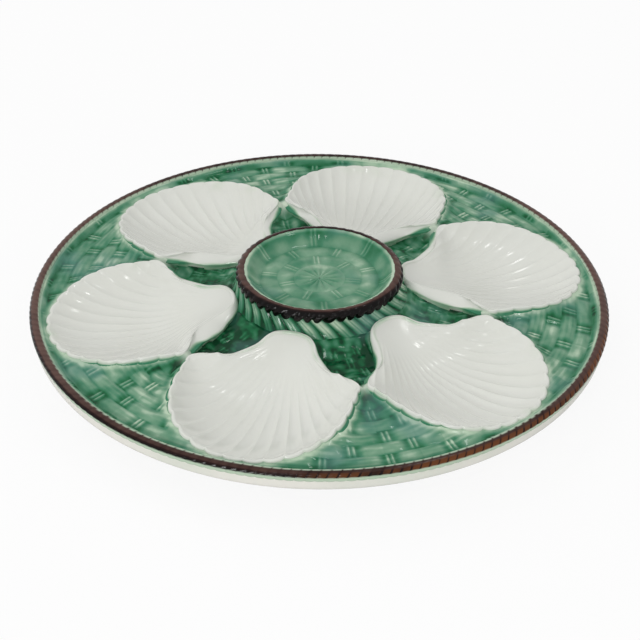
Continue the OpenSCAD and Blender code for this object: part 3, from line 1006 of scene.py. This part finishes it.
def laid_rope(inner, outer, low, high, strands, cut, slant, lean, hang):
    """A rope laid round the plate, its strands cut into a rounded section as slanting ridges.

    Each point keeps its azimuth, how far out and up it is on the section, and how high on its strand.
    """
    rope = SimpleNamespace()
    mid, half = (inner + outer) / 2, (outer - inner) / 2
    centre, rise = (low + high) / 2, (high - low) / 2
    around, rope.a = grid(full_turn(ROPE_ROUND), full_turn(strands * STRAND_STEPS))
    rope.out, rope.up = plan(1, around)
    square = (np.abs(rope.out) ** ROPE_SQUARE + np.abs(rope.up) ** ROPE_SQUARE) ** (1 / ROPE_SQUARE)
    out, up = rope.out / square, rope.up / square
    sway = 0.12 * np.sin(np.radians(rope.a * 13))
    phase = rope.a / 360 * strands + slant * around / 360 + sway
    rope.strand = np.abs(np.sin(math.pi * phase)) ** STRAND_POW
    drop = cut * (1 - rope.strand) * (0.15 + 0.85 * smooth(rope.out - 0.5 * rope.up, -0.4, 0.6))
    x, y = plan(mid + (half - drop) * out, rope.a)
    z = centre + (rise - drop) * up - lean * smooth(rope.up, 0, 0.6) * (out + 1) / 2
    z = z - hang * (rope.strand - 0.5) * fall(rope.up, -0.7, 0.3) * smooth(rope.out, -0.2, 0.5)
    rope.points = np.c_[x, y, z]
    rope.faces = grid_faces(ROPE_ROUND, strands * STRAND_STEPS, ring=True)
    return rope


def wear_and_sheen_top(rope, back_from, front):
    """How far the strands' tops turn taupe, as wear and as painted sheen on the upward faces: less at the
    back, and outside where front is high.
    """
    at_back = 1 - 0.5 * smooth(to_back(rope.a), back_from, 0.95)
    # wear and painted sheen on the upward, inner side of each strand
    wear_and_sheen = smooth(rope.up - (0.75 + front) * rope.out, -0.05 + 0.5 * front, 0.6 + 0.6 * front)
    return wear_and_sheen * (0.8 + 0.2 * rope.strand) * at_back


def rim_rope():
    """The brown rope round the rim, amber at the front right, with pale green along its sides."""
    rope = laid_rope(ROPE_IN, plate_r, rope_low, rope_top,
                     strands=200, cut=0.28, slant=-2.4, lean=0.8, hang=0)
    front = smooth(-to_back(rope.a), 0.3, 0.9)
    amber_side = fall(angle_from(rope.a, AMBER_AT), *AMBER_ENDS)
    amber_below = fall(angle_from(rope.a, AMBER_BELOW_AT), *AMBER_BELOW_ENDS)
    outside = smooth(rope.out - 0.5 * rope.up, -0.45, 0.1) * smooth(rope.strand, 0.25, 0.6)
    underside = smooth(rope.out - 1.1 * rope.up, 0.9, 1.3)
    amber = np.maximum(amber_side * outside, amber_below * underside)
    # painted sheen and wear on the rim rope's tops, less at the front and on the amber
    top = wear_and_sheen_top(rope, 0.4, 0) * (1 - 0.35 * front) * (1 - 0.15 * amber_side)
    pale_in = smooth(-rope.out - 0.6 * rope.up + 0.35 * rope.strand + 0.6 * front, 0.5, 0.75)
    pale_out = smooth(-rope.up + 0.15 * rope.strand + 0.35 * front, 0.1, 0.3) * (rope.out > 0)
    fields = {"top": top, "amber": amber, "pale": np.maximum(pale_in, pale_out)}
    make_piece("rim_rope_glazed", rope.points, rope.faces, fields, "brown_glaze", "rim_rope")


def collar_rope():
    """The dark rope round the sauce well, whose outer teeth hang over the leaf band."""
    rope = laid_rope(SAUCE_R + 0.3, collar_out + 0.3, collar_seat - 0.8, plate_h,
                     strands=48, cut=0.9, slant=-1.8, lean=1.3, hang=1.8)
    # painted sheen and wear on the collar rope's tops, kept to the inner side at the front
    top = 0.85 * wear_and_sheen_top(rope, 0.1, smooth(-to_back(rope.a), 0.2, 0.9))
    fields = {"top": top, "amber": np.zeros(len(top)), "pale": np.zeros(len(top))}
    make_piece("collar_rope_glazed", rope.points, rope.faces, fields, "brown_glaze", "collar_rope")


# the sauce well


def sauce_weave(r, a):
    """Relief of the floor, a star inside woven rows, and how deep a spot lies in it."""
    star = np.abs(np.cos(np.radians((a - SAUCE_TURN) * SAUCE_STAKES))) ** STAR_POW
    high = star * fall(r, *STAR_ENDS) * smooth(r, 0.5, 4)
    deep = (1 - star) * fall(r, *STAR_POOL_ENDS)
    for middle, shift in SAUCE_WEAVE:
        turn = a - SAUCE_TURN + shift * 360 / SAUCE_STAKES
        strips, between, stakes = weave(r, turn, SAUCE_STAKES, middle, SAUCE_PITCH, SAUCE_GAP)
        here = np.abs(r - middle) < SAUCE_PITCH / 2
        high = np.where(here, strips, high)
        deep = np.where(here, between - stakes, deep)
    return SAUCE_RELIEF * high, SAUCE_RELIEF * deep


def sauce_piece():
    """The sauce well's dish, up to a beaded edge inside the collar rope."""
    out, a = grid(np.linspace(0.01, 1, SAUCE_ROWS), full_turn(SAUCE_COLS))
    floor_r = SAUCE_R - SAUCE_WALL
    edge = BEAD_FROM + BEAD_R * np.abs(np.sin(np.radians(a * BEADS / 2))) ** 0.5
    up_wall = np.clip((out - SAUCE_FLOOR_SHARE) / (1 - SAUCE_FLOOR_SHARE), 0, 1) ** 0.8
    r = np.minimum(out / SAUCE_FLOOR_SHARE, 1) * floor_r + (edge - floor_r) * up_wall
    x, y = plan(r, a)
    climb = smooth(r - SAUCE_R, *SAUCE_CLIMB)
    high, deep = sauce_weave(r, a)
    z = SAUCE_FLOOR + (SAUCE_EDGE - SAUCE_FLOOR) * climb ** 1.2 + high * fall(r - SAUCE_R, -1.5, 0)
    pool_and_shade = mixed(SAUCE_LEVEL, SAUCE_POOL_AND_SHADE,
                 between=deep,
                 # painted shade: the well's wall at the back is darker
                 back_wall=smooth(to_back(a), -0.2, 0.8) * climb,
                 ring=bell(r, SAUCE_RING_AT, SAUCE_RING_W),
                 patches=ripple(x, y, seed=55, scale=10),
                 rim=smooth(r, *SAUCE_PALE))
    faces = grid_faces(SAUCE_ROWS, SAUCE_COLS)
    fields = {"pool_and_shade": pool_and_shade, "white": np.zeros(len(pool_and_shade))}
    make_piece("sauce_dish", np.c_[x, y, z], faces, fields, "green_glaze", "sauce_well")


# the back, its edge and the foot


def rounded(corner, before, after, radius):
    """Points of a rounded corner between two straights."""
    c = np.array(corner, float)
    p = c + (np.array(before) - c) / math.dist(before, corner) * radius
    q = c + (np.array(after) - c) / math.dist(after, corner) * radius
    share = np.linspace(0, 1, ROUND_STEPS)[:, None]
    curve = (1 - share) ** 2 * p + 2 * share * (1 - share) * c + share * share * q
    return curve.tolist()


def short_steps(section):
    """The section with its long straights cut short, so that the faces stay even."""
    out = [section[0]]
    for a, b in zip(section, section[1:]):
        n = max(1, int(math.dist(a, b) / SECTION_STEP))
        out += [[a[0] + (b[0] - a[0]) * k / n, a[1] + (b[1] - a[1]) * k / n] for k in range(1, n + 1)]
    return np.array(out)


def revolve(section, cols):
    """Points and faces of a section of [radius, height], turned round the plate's axis."""
    line = short_steps(section)
    x, y = plan(np.repeat(line[:, 0], cols), np.tile(full_turn(cols), len(line)))
    return np.c_[x, y, np.repeat(line[:, 1], cols)], grid_faces(len(line), cols)


def back_piece():
    """The cream back and the plate's edge, open where the shells come through."""
    edge_top = [edge_r, BACK_SEAT]
    corners = [edge_top, [edge_r, back_h], [plate_r * 0.376, back_h], [plate_r * 0.324, BACK_LOW],
               [plate_r * 0.264, BACK_LOW + 0.5], [plate_r * 0.2, BACK_CROWN], [0.2, BACK_CROWN]]
    radii = [EDGE_ROUND] + 4 * [BACK_ROUND]
    section = [[ROPE_IN + 1.0, BACK_SEAT], edge_top]
    for before, corner, after, radius in zip(corners, corners[1:], corners[2:], radii):
        section += rounded(corner, before, after, radius)
    points, faces = revolve(section + corners[-1:], BACK_COLS)
    faces, _, _ = drop_inside(points, faces, HIDDEN_INSET)
    make_piece("back_and_edge", points, faces, {}, "cream_glaze", "white_back")


def foot_piece():
    """The foot ring, which ends just inside the back and the wells' undersides."""
    inner = foot_out - FOOT_W
    out_top, out_low = [foot_out, back_h], [foot_out - FOOT_SLANT, 0]
    in_low, in_top = [inner + FOOT_SLANT, 0], [inner, back_h]
    section = ([[foot_out, back_h + FOOT_SINK]] + rounded(out_low, out_top, in_low, FOOT_ROUND)
               + rounded(in_low, out_low, in_top, FOOT_ROUND) + [[inner, back_h + FOOT_SINK]])
    points, faces = revolve(section, FOOT_COLS)
    bulge = under_height(well_field(np.c_[to_shell(points[:, 0], points[:, 1])])[0])
    points[:, 2] = np.minimum(points[:, 2], bulge + FOOT_BURY)
    make_piece("foot", points, faces, {}, "cream_glaze", "foot_ring")


# floor, camera and light


def floor_material():
    """Pale floor that keeps the plate's shadow, white to the camera and clear from below."""
    material, tree, shader = node_material("floor")
    shader.inputs["Base Color"].default_value = (FLOOR_GREY, FLOOR_GREY, FLOOR_GREY, 1)
    shader.inputs["Roughness"].default_value = FLOOR_ROUGHNESS
    shader.inputs["Specular IOR Level"].default_value = 0.0
    glow = tree.nodes.new("ShaderNodeEmission")
    clear = tree.nodes.new("ShaderNodeBsdfTransparent")
    path = tree.nodes.new("ShaderNodeLightPath")
    side = tree.nodes.new("ShaderNodeNewGeometry")
    seen = maths(tree, "MULTIPLY", path.outputs["Is Camera Ray"], FLOOR_GLOW)
    above = mix_shaders(tree, seen, shader.outputs[0], glow.outputs[0])
    both = mix_shaders(tree, side.outputs["Backfacing"], above, clear.outputs[0])
    tree.links.new(both, tree.nodes["Material Output"].inputs["Surface"])
    return material


def mix_shaders(tree, share, a, b):
    """Shader a, going over to shader b where the share is 1."""
    node = tree.nodes.new("ShaderNodeMixShader")
    for socket, value in zip(node.inputs, (share, a, b)):
        tree.links.new(value, socket)
    return node.outputs[0]


def make_floor():
    """The floor that the plate stands on."""
    mesh = bpy.data.meshes.new("floor")
    corners = [(FLOOR_HALF * x, FLOOR_HALF * y, 0) for x, y in ((-1, -1), (1, -1), (1, 1), (-1, 1))]
    mesh.from_pydata(corners, [], [(0, 1, 2, 3)])
    mesh.materials.append(floor_material())
    floor = bpy.data.objects.new("floor", mesh)
    bpy.context.scene.collection.objects.link(floor)


def photo_to_frame(x, y, z):
    """A place in the photograph's own frame, in metres, turned into the plate's frame."""
    a = math.radians(-PHOTO_TURN)
    return (x * math.cos(a) - y * math.sin(a), x * math.sin(a) + y * math.cos(a), z)


def make_camera():
    """The camera at the photograph's place, angle and lens."""
    data = bpy.data.cameras.new("camera")
    data.sensor_width = SENSOR
    data.lens = FOCAL_PIXELS * SENSOR / PHOTO_PIXELS
    data.clip_end = FAR_CLIP
    camera = bpy.data.objects.new("camera", data)
    bpy.context.scene.collection.objects.link(camera)
    place = Matrix.Translation(photo_to_frame(EYE_SIDE * MM, -EYE_BACK * MM, (EYE_UP + rim_h) * MM))
    turn = Matrix.Rotation(math.radians(-PHOTO_TURN), 4, "Z")
    tilt = Matrix.Rotation(math.radians(90 - VIEW_DOWN), 4, "X")
    roll = Matrix.Rotation(math.radians(VIEW_ROLL), 4, "Z")
    camera.matrix_world = place @ turn @ tilt @ roll
    bpy.context.scene.camera = camera


def make_lamp(name, place, target, width, height, watts, in_glaze):
    """A flat lamp that faces its target."""
    data = bpy.data.lights.new(name, "AREA")
    data.shape = "RECTANGLE"
    data.size = width
    data.size_y = height
    data.energy = watts
    lamp = bpy.data.objects.new(name, data)
    bpy.context.scene.collection.objects.link(lamp)
    lamp.location = photo_to_frame(*place)
    lamp.rotation_mode = "QUATERNION"
    aim = Vector(photo_to_frame(*target)) - lamp.location
    lamp.rotation_quaternion = aim.to_track_quat("-Z", "Y")
    lamp.visible_glossy = in_glaze


def make_world():
    """A white world, at full strength to the camera and dimmer on the plate."""
    world = bpy.data.worlds.new("studio")
    bpy.context.scene.world = world
    world.use_nodes = True
    tree = world.node_tree
    sky = tree.nodes["Background"]
    path = tree.nodes.new("ShaderNodeLightPath")
    strength = maths(tree, "MAXIMUM", path.outputs["Is Camera Ray"], WORLD_LEVEL)
    sky.inputs["Color"].default_value = (1, 1, 1, 1)
    tree.links.new(strength, sky.inputs["Strength"])


# the whole plate

GLAZES = {"green_glaze": green_glaze(),
          "white_glaze": white_glaze(),
          "cream_glaze": cream_glaze(),
          "brown_glaze": brown_glaze()}

rings = shell_rings()
for number in range(1, SHELLS + 1):
    shell_well(number, rings)
ground_piece()
band_piece()
rim_rope()
collar_rope()
sauce_piece()
back_piece()
foot_piece()

make_floor()
make_camera()
for lamp in LAMPS:
    make_lamp(*lamp)
make_world()
bpy.context.scene.view_settings.view_transform = "Standard"
